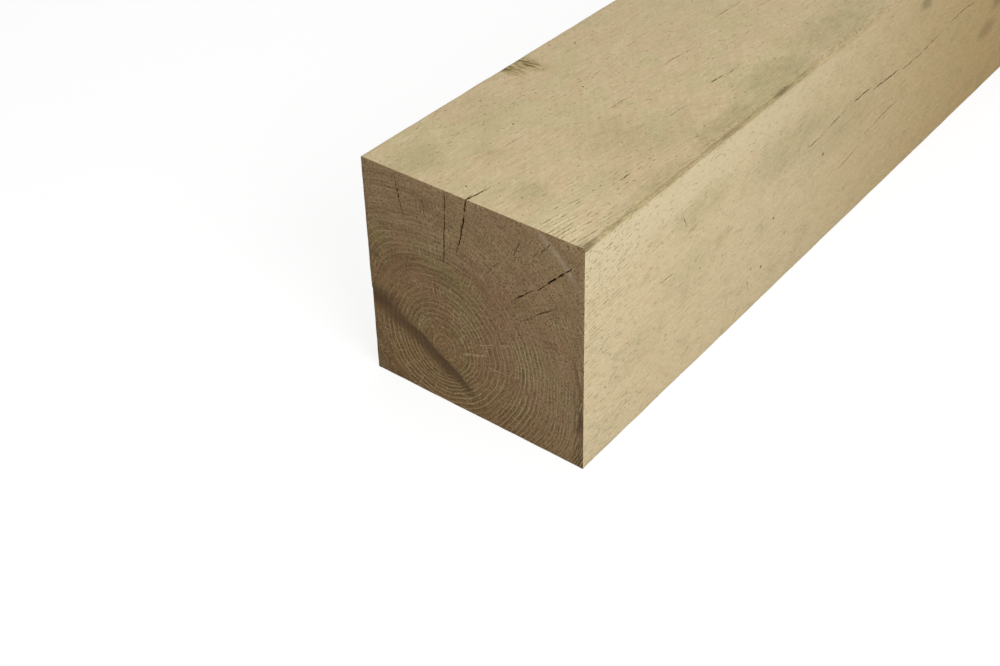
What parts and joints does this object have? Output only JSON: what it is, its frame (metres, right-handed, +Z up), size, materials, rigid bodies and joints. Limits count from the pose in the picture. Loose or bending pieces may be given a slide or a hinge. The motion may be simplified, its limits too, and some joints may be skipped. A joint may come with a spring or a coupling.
{
  "type": "oak post",
  "caption": "Square-sawn solid oak post with eased arrises, a trace of wane, sawn ends and drying checks, for standing, framing or fixing to.",
  "frame": {"origin": "middle of the bottom long face, half way along the post", "axes": "+Y along the post, with the pictured sawn end at -Y; +X across the section to the right of that end; +Z up"},
  "size_m": [0.152, 1.8, 0.149],
  "materials": {
    "oak": "rough sawn, matt, bare"
  },
  "bodies": {
    "root": {"oak_post": "oak"}
  },
  "joints": []
}
